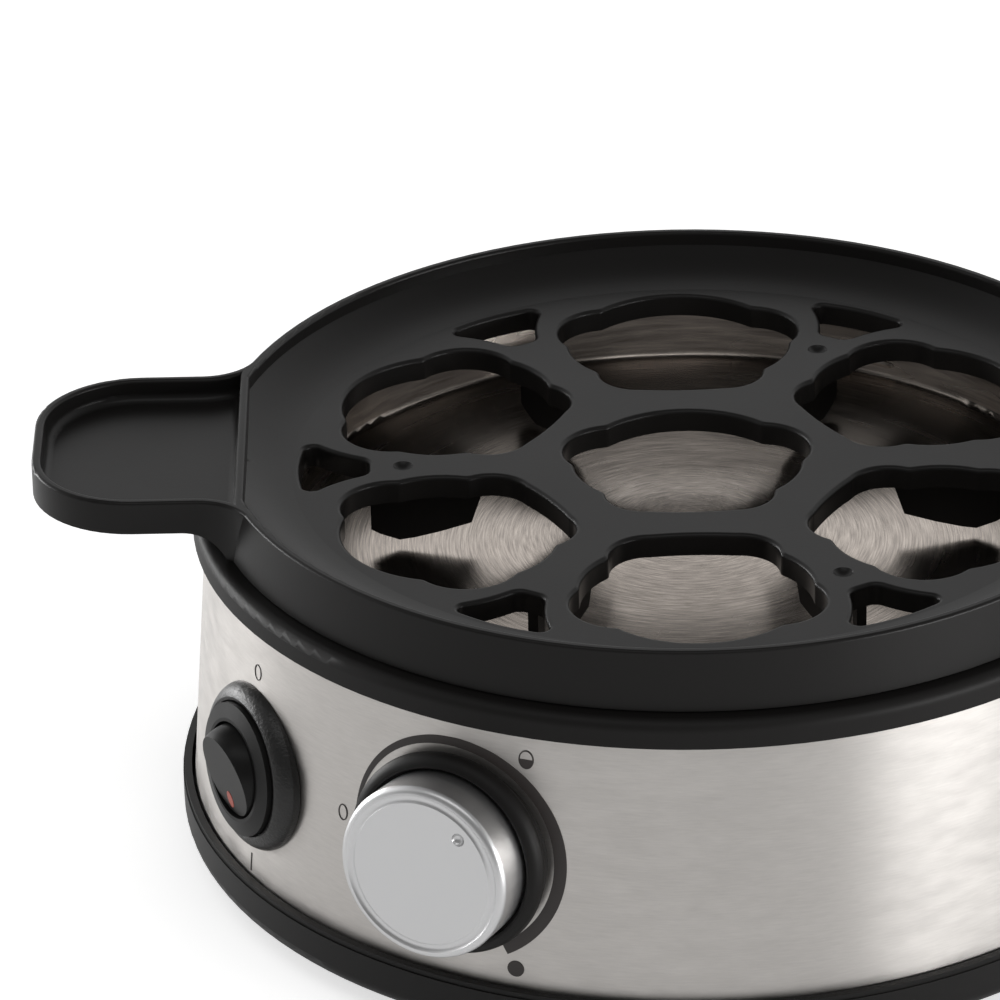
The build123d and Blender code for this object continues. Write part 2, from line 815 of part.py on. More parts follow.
def vents():
    """Rows of radial air slots through the floor."""
    step = 360.0 / vent_count
    slots = []
    for row in vent_rows:
        slot = Pos(0, 0, base_bottom - 1) * extrude(SlotOverall(vent_length, vent_width), base_floor + 2)
        slots += [place * slot for place in at_angles([step * i for i in range(vent_count)], row)]
    return slots


def base_section():
    """Half section of the base: floor, rounded wall with a lip, and the land for the shell."""
    land = shell_radius(base_top) - shell_sheet - face_gap
    lip_step = base_wall / 3
    outline = Polyline(
        (0, base_bottom),
        (base_radius, base_bottom),
        (base_radius, base_top - lip_bead),
        (base_radius - lip_step / 2, base_top - lip_bead),
        (base_radius - lip_step / 2, base_top),
        (lip_inner, base_top),
        (lip_inner, shell_bottom),
        (land, shell_bottom),
        (land, base_top),
        (land - base_land, base_top),
        (land - base_land, floor_top),
        (0, floor_top),
        close=True,
    )
    section = make_face(outline)
    corner = section.vertices().sort_by_distance(Vector(base_radius, base_bottom))[0]
    return fillet(corner, base_corner)


def base_housing():
    """Moulded base with screw bosses, board posts, foot seats and air slots."""
    base = revolve(Plane.XZ * base_section(), Axis.Z)
    boss = disc(boss_radius, floor_top - base_floor / 2, boss_top)
    base = base + [place * boss for place in at_angles(post_angles, post_circle)]
    base = base + board_posts()
    head = disc(screw_head_radius + 0.3, base_bottom - 1, screw_start)
    shank = disc(screw_radius + 0.2, base_bottom, boss_top + 1)
    base = base - [place * (head + shank) for place in at_angles(post_angles, post_circle)]
    seat = disc(foot_radius + 0.2, base_bottom - 1, base_bottom + foot_seat)
    base = base - [place * seat for place in at_angles(foot_angles, foot_circle)]
    return base - vents()


def rubber_feet():
    """Four round feet set into the base."""
    foot = disc(foot_radius, 0, base_bottom + foot_seat)
    foot = fillet(foot.edges().sort_by(Axis.Z)[0], 0.8)
    return copies(foot, at_angles(foot_angles, foot_circle))


def base_screws():
    """Long screws from under the base into the ring's posts."""
    head = disc(screw_head_radius, screw_start - screw_head_height, screw_start)
    slot = Pos(0, 0, screw_start - screw_head_height) * Box(1, screw_head_radius * 1.2, 2)
    shank = disc(screw_radius, screw_start, screw_start + screw_length)
    return copies(head + shank - slot, at_angles(post_angles, post_circle))


def terminal_block():
    """Mains terminal block on the base near the gland."""
    half = terminal_size[2] / 2
    well = Pos(0, 0, half) * Cylinder(terminal_well, 2 * terminal_well_depth)
    block = Box(*terminal_size)
    block = block - [Pos(step * terminal_pitch, 0, 0) * well for step in (-1, 0, 1)]
    return Pos(0, terminal_offset, floor_top + half) * block


# ---------------------------------------------------------------- dial


def dial_collar():
    """Black rounded collar that the dial sits in, its back fitted to the shell."""
    top = collar_rise
    inner = bushing_radius + hole_fit
    crest = collar_bore + 0.7
    outline = Curve() + [
        Line((inner, -top), (collar_neck, -top)),
        Line((collar_neck, -top), (collar_neck, 0)),
        ThreePointArc((collar_neck, 0), (collar_radius, top / 2), (crest, top)),
        ThreePointArc((crest, top), (collar_bore + 0.2, top - 0.2), (collar_bore, top - 0.7)),
        Line((collar_bore, top - 0.7), (collar_bore, collar_floor)),
        Line((collar_bore, collar_floor), (inner, collar_floor)),
        Line((inner, collar_floor), (inner, -top)),
    ]
    return dial_plane() * turned(outline) - shell_core(face_gap)


def knob_cap():
    """Brushed metal cap of the dial with a bevelled face and a pointer dimple."""
    inner = cap_radius - cap_wall
    face = cap_radius - cap_bevel
    top = cap_front
    outline = Curve() + [
        Line((inner, cap_back), (cap_radius - cap_draft, cap_back)),
        Line((cap_radius - cap_draft, cap_back), (cap_radius, top - 1.2)),
        ThreePointArc((cap_radius, top - 1.2), (cap_radius - 0.45, top - 0.35), (face, top)),
        ThreePointArc((face, top), (face - 0.8, top - cap_groove), (face - 1.6, top - 0.1)),
        Line((face - 1.6, top - 0.1), (0, top - 0.1)),
        Line((0, top - 0.1), (0, top - cap_wall)),
        Line((0, top - cap_wall), (inner, top - cap_wall)),
        Line((inner, top - cap_wall), (inner, cap_back)),
    ]
    dent = Rot(0, 0, cap_dimple_angle) * Pos(cap_dimple_circle, 0, cap_front + 0.4) * Sphere(cap_dimple)
    return dial_plane() * (turned(outline) - dent)


def knob_core():
    """Moulded hub inside the cap, bored for the shaft."""
    top = cap_front - cap_wall - face_gap
    outer = cap_radius - cap_wall - face_gap
    bore = shaft_radius + hub_fit
    core = turned_points(
        (bore, top),
        (bore, bushing_front + 0.4),
        (bushing_radius + 0.5, bushing_front + 0.4),
        (bushing_radius + 0.5, pot_nut_top() + 0.4),
        (hub_radius, pot_nut_top() + 0.4),
        (hub_radius, top - cap_wall),
        (outer - cap_wall, top - cap_wall),
        (outer - cap_wall, cap_back + 0.6),
        (outer, cap_back + 0.6),
        (outer, top),
    )
    return dial_plane() * core


def pot_nut_top():
    """Outer face of the nut on the potentiometer's bushing."""
    return collar_floor + pot_nut_height


def pot_nut():
    """Nut that holds the collar and the potentiometer to the shell."""
    nut = hexagon(pot_nut_flats, collar_floor, pot_nut_top())
    return dial_plane() * (nut - disc(bushing_radius + screw_fit, 0, cap_front))


def potentiometer():
    """Potentiometer behind the shell, with its bushing through it."""
    body = disc(pot_radius, pot_front - pot_depth, pot_front)
    bushing = disc(bushing_radius, pot_front, bushing_front)
    bore = disc(shaft_radius + shaft_fit, pot_front - pot_depth / 2, bushing_front + 1)
    return dial_plane() * (body + bushing - bore)


def pot_shaft():
    """Shaft of the potentiometer, which the dial's hub is pushed onto."""
    start = pot_front - pot_depth / 2 + shaft_fit
    return dial_plane() * disc(shaft_radius, start, cap_front - cap_wall - 2 * face_gap)


# ---------------------------------------------------------------- rocker switch


def switch_bezel():
    """Textured ring round the switch, its back fitted to the shell."""
    bore = switch_body_radius + hole_fit
    seat = flange_radius + bezel_groove
    slope = (bezel_crest + 1.5, bezel_rise - 1.0)
    outline = Curve() + [
        Line((bore, -5), (bezel_radius, -5)),
        Line((bezel_radius, -5), (bezel_radius, bezel_edge)),
        ThreePointArc((bezel_radius, bezel_edge), slope, (bezel_crest, bezel_rise)),
        Line((bezel_crest, bezel_rise), (seat, bezel_rise - 0.1)),
        Line((seat, bezel_rise - 0.1), (seat, flange_back - face_gap)),
        Line((seat, flange_back - face_gap), (bore, flange_back - face_gap)),
        Line((bore, flange_back - face_gap), (bore, -5)),
    ]
    return switch_plane() * turned(outline) - shell_core(face_gap)


def switch_housing():
    """Round switch body with a flange, a recess for the rocker and two snap lugs."""
    body = disc(switch_body_radius, -switch_body_depth, flange_back)
    flange = turned_points(
        (0, flange_back),
        (flange_radius, flange_back),
        (flange_radius, flange_edge),
        (recess_radius + 0.6, flange_front),
        (0, flange_front),
    )
    recess = disc(recess_radius, recess_floor, flange_front + 1)
    socket = Pos(0, 0, rocker_pivot) * Rot(0, 90, 0)
    socket = socket * Cylinder(trunnion_radius + trunnion_fit, 2 * (trunnion_reach + 0.1))
    lug = Pos(0, switch_body_radius, -shell_sheet - 1.6) * Box(4, 1.4, 1.6)
    lugs = [lug, mirror(lug, Plane.XZ)]
    return switch_plane() * (body + flange + lugs - recess - socket)


def rocker_place():
    """Frame of the rocker at rest: its pivot, tipped with the upper end outwards."""
    return switch_plane() * Pos(0, 0, rocker_pivot) * Rot(rocker_tilt, 0, 0)


def lens_face(grow=0.0):
    """Oval of the rocker's lens, grown by a gap."""
    oval = Ellipse(lens_half_width + grow, lens_half_length + grow)
    return Pos(0, lens_place, rocker_crown - lens_depth) * oval


def switch_rocker():
    """Rocker: a slice of a ball with a flat face, on two trunnions."""
    slab = Pos(0, 0, (rocker_crown - rocker_keel) / 2)
    slab = slab * Box(4 * rocker_ball, 4 * rocker_ball, rocker_crown + rocker_keel)
    trunnion = Rot(0, 90, 0) * Cylinder(trunnion_radius, 2 * trunnion_reach)
    window = extrude(lens_face(screw_fit), 2 * lens_depth)
    return rocker_place() * ((Sphere(rocker_ball) & slab) + trunnion - window)


def rocker_lens():
    """Red lens let into the rocker's face."""
    return rocker_place() * extrude(lens_face(), lens_depth + face_gap)


def switch_blades():
    """Three blade terminals at the back of the switch."""
    blade = Pos(0, 0, -switch_body_depth - blade_length / 2) * Box(blade_width, blade_thickness, blade_length)
    return copies(blade, [switch_plane() * Pos(0, step * 6, 0) for step in (-1, 0, 1)])


# ---------------------------------------------------------------- control board


def board_place(side, below, depth):
    """Place on or near the board: across, below the dial's axis, and behind the shell."""
    return dial_plane() * Pos(side, -below, -depth)


def circuit_board():
    """Board behind the dial, with its two screw holes."""
    height = board_below + board_above
    middle = (board_below - board_above) / 2
    board = Box(2 * board_half_width, height, board_thickness)
    hole = Cylinder(board_screw_radius + 0.3, 2 * board_thickness)
    for side in (-1, 1):
        board = board - Pos(side * board_screw_side, middle - board_screw_below, 0) * hole
    return board_place(0, middle, board_depth + board_thickness / 2) * board


def board_screws():
    """Screws through the board into the posts of the base."""
    head = disc(2 * board_screw_radius, 0, 1.6)
    shank = disc(board_screw_radius, -board_screw_length, 0)
    places = [board_place(side * board_screw_side, board_screw_below, board_depth) for side in (-1, 1)]
    return copies(head + shank, places)


def buzzer():
    """Round buzzer on the inner side of the board."""
    back = board_depth + board_thickness
    body = disc(6.0, -7.0, 0) - disc(1.0, -8.0, -4.0)
    return board_place(-11, 7, back) * body


def relay():
    """Relay block on the inner side of the board."""
    back = board_depth + board_thickness
    block = fillet(Box(*relay_size).edges(), 0.5)
    return board_place(8, 7, back) * Pos(0, 0, -relay_size[2] / 2) * block


def cord_gland():
    """Bushing in the back of the shell that the mains cord comes through."""
    shoulder = turned_points(
        (0, -5), (gland_flange, -5), (gland_flange, 1.4), (gland_flange - 0.8, 2.2), (0, 2.2)
    )
    nose = turned_points((0, 2), (gland_neck, 2), (gland_neck - 0.7, gland_nose), (0, gland_nose))
    outside = gland_plane() * (shoulder + nose) - shell_core(face_gap)
    inside = gland_plane() * (disc(gland_neck, -4, 1) + disc(gland_neck + 1.2, -4, -2.4))
    return outside + inside - gland_plane() * Cylinder(gland_bore, 30)


# ---------------------------------------------------------------- write the pieces

nodes = {
    "egg_tray": egg_tray,
    "top_ring": top_ring,
    "heating_pan": heating_pan,
    "pan_seal": pan_seal,
    "heat_spreader": heat_spreader,
    "heating_element": heating_element,
    "pan_studs": pan_studs,
    "stud_nuts": stud_nuts,
    "heat_shield": heat_shield,
    "pan_clamps": pan_clamps,
    "thermostat": thermostat,
    "thermostat_bracket": thermostat_bracket,
    "thermal_fuse": thermal_fuse,
    "earth_tab": earth_tab,
    "body_shell": body_shell,
    "base_housing": base_housing,
    "rubber_feet": rubber_feet,
    "base_screws": base_screws,
    "terminal_block": terminal_block,
    "dial_collar": dial_collar,
    "knob_cap": knob_cap,
    "knob_core": knob_core,
    "pot_nut": pot_nut,
    "potentiometer": potentiometer,
    "pot_shaft": pot_shaft,
    "switch_bezel": switch_bezel,
    "switch_housing": switch_housing,
    "switch_rocker": switch_rocker,
    "rocker_lens": rocker_lens,
    "switch_blades": switch_blades,
    "circuit_board": circuit_board,
    "board_screws": board_screws,
    "buzzer": buzzer,
    "relay": relay,
    "cord_gland": cord_gland,
}

os.makedirs("parts", exist_ok=True)
for name, make in nodes.items():
    export_step(make(), f"parts/{name}.step")
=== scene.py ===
"""Looks for the seven-seat egg boiler: finishes, printed marks, floor, lamps and camera."""
import math

import bpy
import numpy as np
from bpy.props import FloatProperty, FloatVectorProperty, PointerProperty
from mathutils import Matrix, Vector


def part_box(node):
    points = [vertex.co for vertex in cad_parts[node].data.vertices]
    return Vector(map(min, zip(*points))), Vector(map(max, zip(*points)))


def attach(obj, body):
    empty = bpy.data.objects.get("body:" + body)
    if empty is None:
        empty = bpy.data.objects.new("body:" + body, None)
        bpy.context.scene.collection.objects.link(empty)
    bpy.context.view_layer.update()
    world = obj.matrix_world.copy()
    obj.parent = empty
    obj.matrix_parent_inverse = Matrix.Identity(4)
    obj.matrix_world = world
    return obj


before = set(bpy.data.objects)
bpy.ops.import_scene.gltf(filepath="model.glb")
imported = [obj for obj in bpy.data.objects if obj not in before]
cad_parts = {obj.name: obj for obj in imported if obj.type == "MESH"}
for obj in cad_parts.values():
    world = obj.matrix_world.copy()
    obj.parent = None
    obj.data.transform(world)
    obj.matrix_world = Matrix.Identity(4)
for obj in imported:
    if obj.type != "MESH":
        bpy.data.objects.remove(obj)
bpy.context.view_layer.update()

bl_info = {
    "name": "Egg Boiler",
    "version": (1, 0, 0),
    "blender": (4, 5, 0),
    "location": "View3D > Sidebar > Egg Boiler",
    "description": "Finishes, printed marks and studio of a seven-seat egg boiler",
    "category": "Object",
}

MM = 0.001

# The shell is a cone: radius lost for each unit of height, and the lean of its wall.
SHELL_SLOPE = 0.0725
SHELL_TILT = math.atan(SHELL_SLOPE)

# Middles of the dial and the switch on the shell: degrees round from +X, and mm above the floor.
DIAL = {"angle": 241.0, "height": 36.6}
SWITCH = {"angle": 208.4, "height": 33.75}

# How deep the underside of the printed ink lies in the shell.
INK_ROOT = 0.1 * MM

# Inside of the pan's wall: the height of its foot, how far inside the pan's edge it is there, and
# how much it leans out for each unit of height.
PAN_WALL_FOOT = 54.6 * MM
PAN_WALL_INSET = 6.42 * MM
PAN_WALL_LEAN = 3.2 / 10.1

# Name, place, aim, size and the setting that holds the power of each lamp, in metres.
LAMPS = (
    ("Left Softbox", (-0.68, 0.4, 0.12), (0, 0, 0.06), (0.5, 0.2), "side_lamp"),
    ("Right Softbox", (0.66, -0.44, 0.12), (0, 0, 0.06), (0.5, 0.2), "side_lamp"),
    ("Front Softbox", (-0.1, -0.42, 0.85), (0, 0, 0.05), (0.9, 0.25), "top_lamp"),
)

# The camera's turn round the boiler, its height angle and its roll in degrees, the height of the
# point it looks at, and how far that point lies left of the middle and below it in its picture.
CAMERA = {"azimuth": -0.08, "elevation": 27.19, "roll": -1.12, "target": 71.0 * MM,
          "aside": 33.61 * MM, "below": 7.18 * MM}

# Material, colour, roughness, metallic and nodes of the pieces inside the shell.
INSIDE = (
    ("Aluminium As Cast", (0.7, 0.7, 0.71), 0.45, 1.0,
     ("heat_spreader", "thermal_fuse", "potentiometer", "pot_shaft")),
    ("Element Steel", (0.28, 0.26, 0.25), 0.45, 1.0, ("heating_element",)),
    ("Zinc Plate", (0.66, 0.67, 0.7), 0.3, 1.0,
     ("pan_studs", "stud_nuts", "base_screws", "board_screws", "pot_nut")),
    ("Galvanised Sheet", (0.55, 0.56, 0.57), 0.4, 1.0,
     ("heat_shield", "pan_clamps", "thermostat_bracket")),
    ("Black Phenolic", (0.03, 0.028, 0.026), 0.5, 0.0, ("thermostat", "buzzer")),
    ("Terminal Brass", (0.74, 0.58, 0.3), 0.3, 1.0, ("earth_tab", "switch_blades")),
    ("Cream Nylon", (0.7, 0.66, 0.55), 0.5, 0.0, ("terminal_block",)),
    ("Board Green", (0.03, 0.2, 0.08), 0.35, 0.0, ("circuit_board",)),
    ("Relay Blue", (0.05, 0.16, 0.42), 0.4, 0.0, ("relay",)),
)


# ---------------------------------------------------------------- settings


def colour(name, words, value):
    """Colour property with a swatch."""
    return FloatVectorProperty(
        name=name, description=words, default=value, size=3, min=0, max=1, subtype="COLOR"
    )


def length(name, words, value):
    """Length property in metres."""
    return FloatProperty(name=name, description=words, default=value, min=0, unit="LENGTH")


def amount(name, words, value, top=1.0):
    """Plain number from 0 to a limit."""
    return FloatProperty(name=name, description=words, default=value, min=0, max=top)


class PlasticSettings(bpy.types.PropertyGroup):
    """Black mouldings: tray, ring, base, collar and switch."""

    tray: colour("Tray", "Colour of the egg tray", (0.0095, 0.0088, 0.0084))
    tray_roughness: amount("Tray Roughness", "Roughness of the tray's satin face", 0.34)
    ring: colour("Ring", "Colour of the top ring and the dial's collar", (0.0075, 0.0068, 0.0064))
    base: colour("Base", "Colour of the base", (0.009, 0.0085, 0.0082))
    bezel: colour("Bezel", "Colour of the switch's bezel", (0.012, 0.0115, 0.011))
    rocker: colour("Rocker", "Colour of the rocker and its housing", (0.009, 0.0088, 0.0086))
    gloss: amount("Gloss", "Specular level of the black mouldings", 0.21)
    lens: colour("Lens", "Colour of the rocker's lens", (0.42, 0.045, 0.018))
    rubber: colour("Rubber", "Colour of the feet and the cord gland", (0.02, 0.02, 0.02))


class MetalSettings(bpy.types.PropertyGroup):
    """Steel shell, steel pan and silver knob."""

    shell: colour("Shell", "Colour of the brushed shell", (0.6, 0.575, 0.55))
    shell_roughness: amount("Shell Roughness", "Roughness of the shell", 0.34)
    pan: colour("Pan", "Colour of the heating pan", (0.55, 0.49, 0.44))
    pan_roughness: amount("Pan Roughness", "Roughness of the pan", 0.25)
    knob: colour("Knob", "Colour of the knob's satin cap", (0.72, 0.72, 0.725))
    knob_roughness: amount("Knob Roughness", "Roughness of the knob's cap", 0.36)


class MarkSettings(bpy.types.PropertyGroup):
    """Marks printed on the shell and pressed into the pan."""

    ink: colour("Ink", "Colour of the printed marks", (0.034, 0.028, 0.026))
    lift: length("Lift", "Height of the ink above the shell", 0.07 * MM)
    band_radius: length("Band Radius", "Outer radius of the band round the dial", 20.85 * MM)
    band_narrow: length("Band Start", "Width of the band where it starts", 0.3 * MM)
    band_wide: length("Band End", "Width of the band where it is full", 2.25 * MM)
    level_rise: length("Level Rise", "How far the water mark stands out of the pan's wall", 0.45 * MM)
    level_height: length("Level Height", "Height of the water mark's bead", 1.1 * MM)


class StageSettings(bpy.types.PropertyGroup):
    """Floor, lamps and camera."""

    floor: colour("Floor", "Colour of the floor", (0.86, 0.86, 0.86))
    floor_seen: amount("Floor Seen", "Glow of the floor towards the camera", 0.6)
    floor_mirrored: amount("Floor Mirrored", "Glow of the floor in reflections", 0.2)
    side_lamp: amount("Side Lamps", "Power of the lamps beside the boiler in watts", 3.2, 1000)
    top_lamp: amount("Top Lamp", "Power of the lamp above and in front in watts", 0.9, 1000)
    fill: amount("Fill", "Strength of the light from all round", 0.5, 10)
    room: amount("Room", "Brightness of reflections from the front and from straight above", 0.24, 10)
    lens: FloatProperty(name="Lens", description="Focal length", default=252.0, min=1, unit="CAMERA")
    distance: length("Distance", "Camera's distance", 1254.7 * MM)


GROUPS = {
    "boiler_plastic": PlasticSettings,
    "boiler_metal": MetalSettings,
    "boiler_marks": MarkSettings,
    "boiler_stage": StageSettings,
}


# ---------------------------------------------------------------- shared effects


def new_group(name, inputs, outputs):
    """Empty shader node group with float or vector sockets."""
    group = bpy.data.node_groups.new(name, "ShaderNodeTree")
    for socket, kind, value in inputs:
        item = group.interface.new_socket(socket, in_out="INPUT", socket_type=kind)
        if value is not None:
            item.default_value = value
    for socket, kind in outputs:
        group.interface.new_socket(socket, in_out="OUTPUT", socket_type=kind)
    source = group.nodes.new("NodeGroupInput")
    sink = group.nodes.new("NodeGroupOutput")
    return group, source.outputs, sink.inputs


def join(tree, output, target):
    """Link from one socket to another."""
    tree.links.new(output, target)


def math_node(tree, operation, *values):
    """Math node whose inputs are sockets or numbers."""
    node = tree.nodes.new("ShaderNodeMath")
    node.operation = operation
    for slot, value in zip(node.inputs, values):
        if isinstance(value, (int, float)):
            slot.default_value = value
        else:
            tree.links.new(value, slot)
    return node.outputs[0]


def noise(tree, vector, scale, detail=2.0, rough=0.5):
    """Noise texture on a vector."""
    node = tree.nodes.new("ShaderNodeTexNoise")
    node.inputs["Detail"].default_value = detail
    node.inputs["Roughness"].default_value = rough
    if isinstance(scale, (int, float)):
        node.inputs["Scale"].default_value = scale
    else:
        tree.links.new(scale, node.inputs["Scale"])
    tree.links.new(vector, node.inputs["Vector"])
    return node.outputs["Fac"]


def brushing_group():
    """Fine lines that run round the Z axis: noise on the way from the axis and the place across."""
    group, source, sink = new_group(
        "Brushed Lines",
        [
            ("Vector", "NodeSocketVector", None),
            ("Across", "NodeSocketFloat", 0.0),
            ("Along", "NodeSocketFloat", 20.0),
            ("Lines", "NodeSocketFloat", 2500.0),
        ],
        [("Streak", "NodeSocketFloat"), ("Broad", "NodeSocketFloat")],
    )
    flat = group.nodes.new("ShaderNodeVectorMath")
    flat.operation = "MULTIPLY"
    flat.inputs[1].default_value = (1, 1, 0)
    join(group, source["Vector"], flat.inputs[0])
    unit = group.nodes.new("ShaderNodeVectorMath")
    unit.operation = "NORMALIZE"
    join(group, flat.outputs[0], unit.inputs[0])
    spread = group.nodes.new("ShaderNodeVectorMath")
    spread.operation = "SCALE"
    join(group, unit.outputs[0], spread.inputs[0])
    join(group, source["Along"], spread.inputs["Scale"])
    parts = group.nodes.new("ShaderNodeSeparateXYZ")
    join(group, spread.outputs[0], parts.inputs[0])
    place = group.nodes.new("ShaderNodeCombineXYZ")
    join(group, parts.outputs["X"], place.inputs["X"])
    join(group, parts.outputs["Y"], place.inputs["Y"])
    join(group, math_node(group, "MULTIPLY", source["Across"], source["Lines"]), place.inputs["Z"])
    fine = noise(group, place.outputs[0], 1.0, 4.0, 0.62)
    join(group, fine, sink["Streak"])
    slow = group.nodes.new("ShaderNodeVectorMath")
    slow.operation = "MULTIPLY"
    slow.inputs[1].default_value = (0.4, 0.4, 0.12)
    join(group, place.outputs[0], slow.inputs[0])
    join(group, noise(group, slow.outputs[0], 1.0, 2.0, 0.5), sink["Broad"])
    return group


def grain_group():
    """Spark-eroded grain of a moulding: two sizes of noise as a height."""
    group, source, sink = new_group(
        "Moulded Grain",
        [("Vector", "NodeSocketVector", None), ("Scale", "NodeSocketFloat", 2500.0)],
        [("Height", "NodeSocketFloat")],
    )
    fine = noise(group, source["Vector"], source["Scale"], 2.0, 0.6)
    coarse = math_node(group, "MULTIPLY", source["Scale"], 0.37)
    broad = noise(group, source["Vector"], coarse, 1.0, 0.5)
    weighted = math_node(group, "MULTIPLY", broad, 0.6)
    join(group, math_node(group, "ADD", fine, weighted), sink["Height"])
    return group


def handling_group():
    """Slow cloudy variation of roughness from handling and wiping."""
    group, source, sink = new_group(
        "Handling",
        [
            ("Vector", "NodeSocketVector", None),
            ("Roughness", "NodeSocketFloat", 0.4),
            ("Spread", "NodeSocketFloat", 0.05),
        ],
        [("Roughness", "NodeSocketFloat")],
    )
    cloud = noise(group, source["Vector"], 38.0, 4.0, 0.55)
    centred = math_node(group, "SUBTRACT", cloud, 0.5)
    spread = math_node(group, "MULTIPLY", source["Spread"], 2.0)
    change = math_node(group, "MULTIPLY", centred, spread)
    join(group, math_node(group, "ADD", source["Roughness"], change), sink["Roughness"])
    return group


def shared(name):
    """Shared effect by name, built once."""
    makers = {
        "Brushed Lines": brushing_group,
        "Moulded Grain": grain_group,
        "Handling": handling_group,
    }
    return bpy.data.node_groups.get(name) or makers[name]()


# ---------------------------------------------------------------- materials


def new_material(name, base, rough, metallic=0.0, **extra):
    """Principled material with plain values on its sockets; returns it with its tree and shader."""
    material = bpy.data.materials.new(name)
    material.use_nodes = True
    tree = material.node_tree
    shader = tree.nodes["Principled BSDF"]
    shader.inputs["Base Color"].default_value = (*base, 1.0)
    shader.inputs["Roughness"].default_value = rough
    shader.inputs["Metallic"].default_value = metallic
    for socket, value in extra.items():
        shader.inputs[socket.replace("_", " ").title()].default_value = value
    return material, tree, shader


def effect(tree, name, **values):
    """Shared effect placed in a material with its own values."""
    node = tree.nodes.new("ShaderNodeGroup")
    node.node_tree = shared(name)
    for socket, value in values.items():
        slot = node.inputs[socket.title()]
        if isinstance(value, (int, float)):
            slot.default_value = value
        else:
            tree.links.new(value, slot)
    return node.outputs


def object_point(tree):
    """Point of the piece in its own coordinates."""
    return tree.nodes.new("ShaderNodeTexCoord").outputs["Object"]


def bump(tree, shader, height, strength, depth):
    """Bump from a height into the shader's normal."""
    node = tree.nodes.new("ShaderNodeBump")
    node.inputs["Strength"].default_value = strength
    node.inputs["Distance"].default_value = depth
    tree.links.new(height, node.inputs["Height"])
    tree.links.new(node.outputs["Normal"], shader.inputs["Normal"])


def plastic(name, base, rough, grain, strength, depth=0.03 * MM, spread=0.04, gloss=0.5):
    """Moulded plastic with a grain and a handled surface."""
    material, tree, shader = new_material(name, base, rough)
    shader.inputs["Specular IOR Level"].default_value = gloss
    point = object_point(tree)
    eroded = effect(tree, "Moulded Grain", vector=point, scale=grain)
    bump(tree, shader, eroded["Height"], strength, depth)
    worn = effect(tree, "Handling", vector=point, roughness=rough, spread=spread)
    join(tree, worn["Roughness"], shader.inputs["Roughness"])
    return material


def brushed(name, base, rough, across, lines, along, strength, contrast, stretch):
    """Metal brushed round the boiler's axis. across is "Z" for a wall or "R" for a floor."""
    material, tree, shader = new_material(
        name, base, rough, 1.0, anisotropic=stretch, anisotropic_rotation=0.25
    )
    tangent = tree.nodes.new("ShaderNodeTangent")
    tangent.direction_type = "RADIAL"
    tangent.axis = "Z"
    join(tree, tangent.outputs[0], shader.inputs["Tangent"])
    point = object_point(tree)
    parts = tree.nodes.new("ShaderNodeSeparateXYZ")
    join(tree, point, parts.inputs[0])
    place = parts.outputs["Z"]
    if across == "R":
        square = math_node(tree, "ADD", math_node(tree, "POWER", parts.outputs["X"], 2.0),
                           math_node(tree, "POWER", parts.outputs["Y"], 2.0))
        place = math_node(tree, "SQRT", square)
    streaks = effect(tree, "Brushed Lines", vector=point, across=place, lines=lines, along=along)
    bump(tree, shader, streaks["Streak"], strength, 0.01 * MM)
    ramp = tree.nodes.new("ShaderNodeMapRange")
    ramp.inputs["From Min"].default_value = 0.3
    ramp.inputs["From Max"].default_value = 0.7
    ramp.inputs["To Min"].default_value = 1 - contrast
    ramp.inputs["To Max"].default_value = 1 + contrast
    join(tree, streaks["Streak"], ramp.inputs["Value"])
    tint = tree.nodes.new("ShaderNodeVectorMath")
    tint.operation = "SCALE"
    tint.inputs[0].default_value = base
    join(tree, ramp.outputs[0], tint.inputs["Scale"])
    join(tree, tint.outputs[0], shader.inputs["Base Color"])
    spread = 0.08
    uneven = math_node(tree, "MULTIPLY", streaks["Broad"], 2 * spread)
    join(tree, math_node(tree, "ADD", rough - spread, uneven), shader.inputs["Roughness"])
    return material


def coat(material, *nodes):
    """Puts a material on CAD nodes."""
    for name in nodes:
        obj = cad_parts[name]
        if not obj.material_slots:
            obj.data.materials.append(material)
        for slot in obj.material_slots:
            slot.material = material


# ---------------------------------------------------------------- pieces from arrays


def piece(name, points, faces, material, body="boiler"):
    """Mesh object at the origin from arrays of points and faces, riding on a body."""
    mesh = bpy.data.meshes.new(name)
    mesh.from_pydata(points.tolist(), [], faces.tolist())
    mesh.validate()
    obj = bpy.data.objects.new(name, mesh)
    bpy.context.scene.collection.objects.link(obj)
    obj.data.materials.append(material)
    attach(obj, body)
    return obj


def loft_faces(count, sides, closed):
    """Quads between following sections of a loft, and its two end caps if it is open."""
    i, k = np.meshgrid(np.arange(count if closed else count - 1), np.arange(sides), indexing="ij")
    nxt = (i + 1) % count
    turn = (k + 1) % sides
    corners = [i * sides + k, i * sides + turn, nxt * sides + turn, nxt * sides + k]
    quads = np.stack(corners, -1).reshape(-1, 4)
    if closed or sides != 4:
        return quads
    ends = np.array([[3, 2, 1, 0], [0, 1, 2, 3]])
    ends[1] += (count - 1) * sides
    return np.concatenate([quads, ends])


def shell_radius(height):
    """Outside radius of the shell at a height: its lower radius less slope times height."""
    low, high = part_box("body_shell")
    return high[0] - (height - low[2]) * SHELL_SLOPE


def on_shell(place, across, up, lift):
    """Points on the cone of the shell.

    angle = place's angle + across / radius, height = place's height + up * cos(tilt),
    and each point stands off along the cone's normal by lift.
    """
    middle = place["height"] * MM
    angle = math.radians(place["angle"]) + across / shell_radius(middle)
    height = middle + up * math.cos(SHELL_TILT)
    radius = shell_radius(height) + lift * math.cos(SHELL_TILT)
    height = height + lift * math.sin(SHELL_TILT)
    return np.stack([radius * np.cos(angle), radius * np.sin(angle), height], -1)


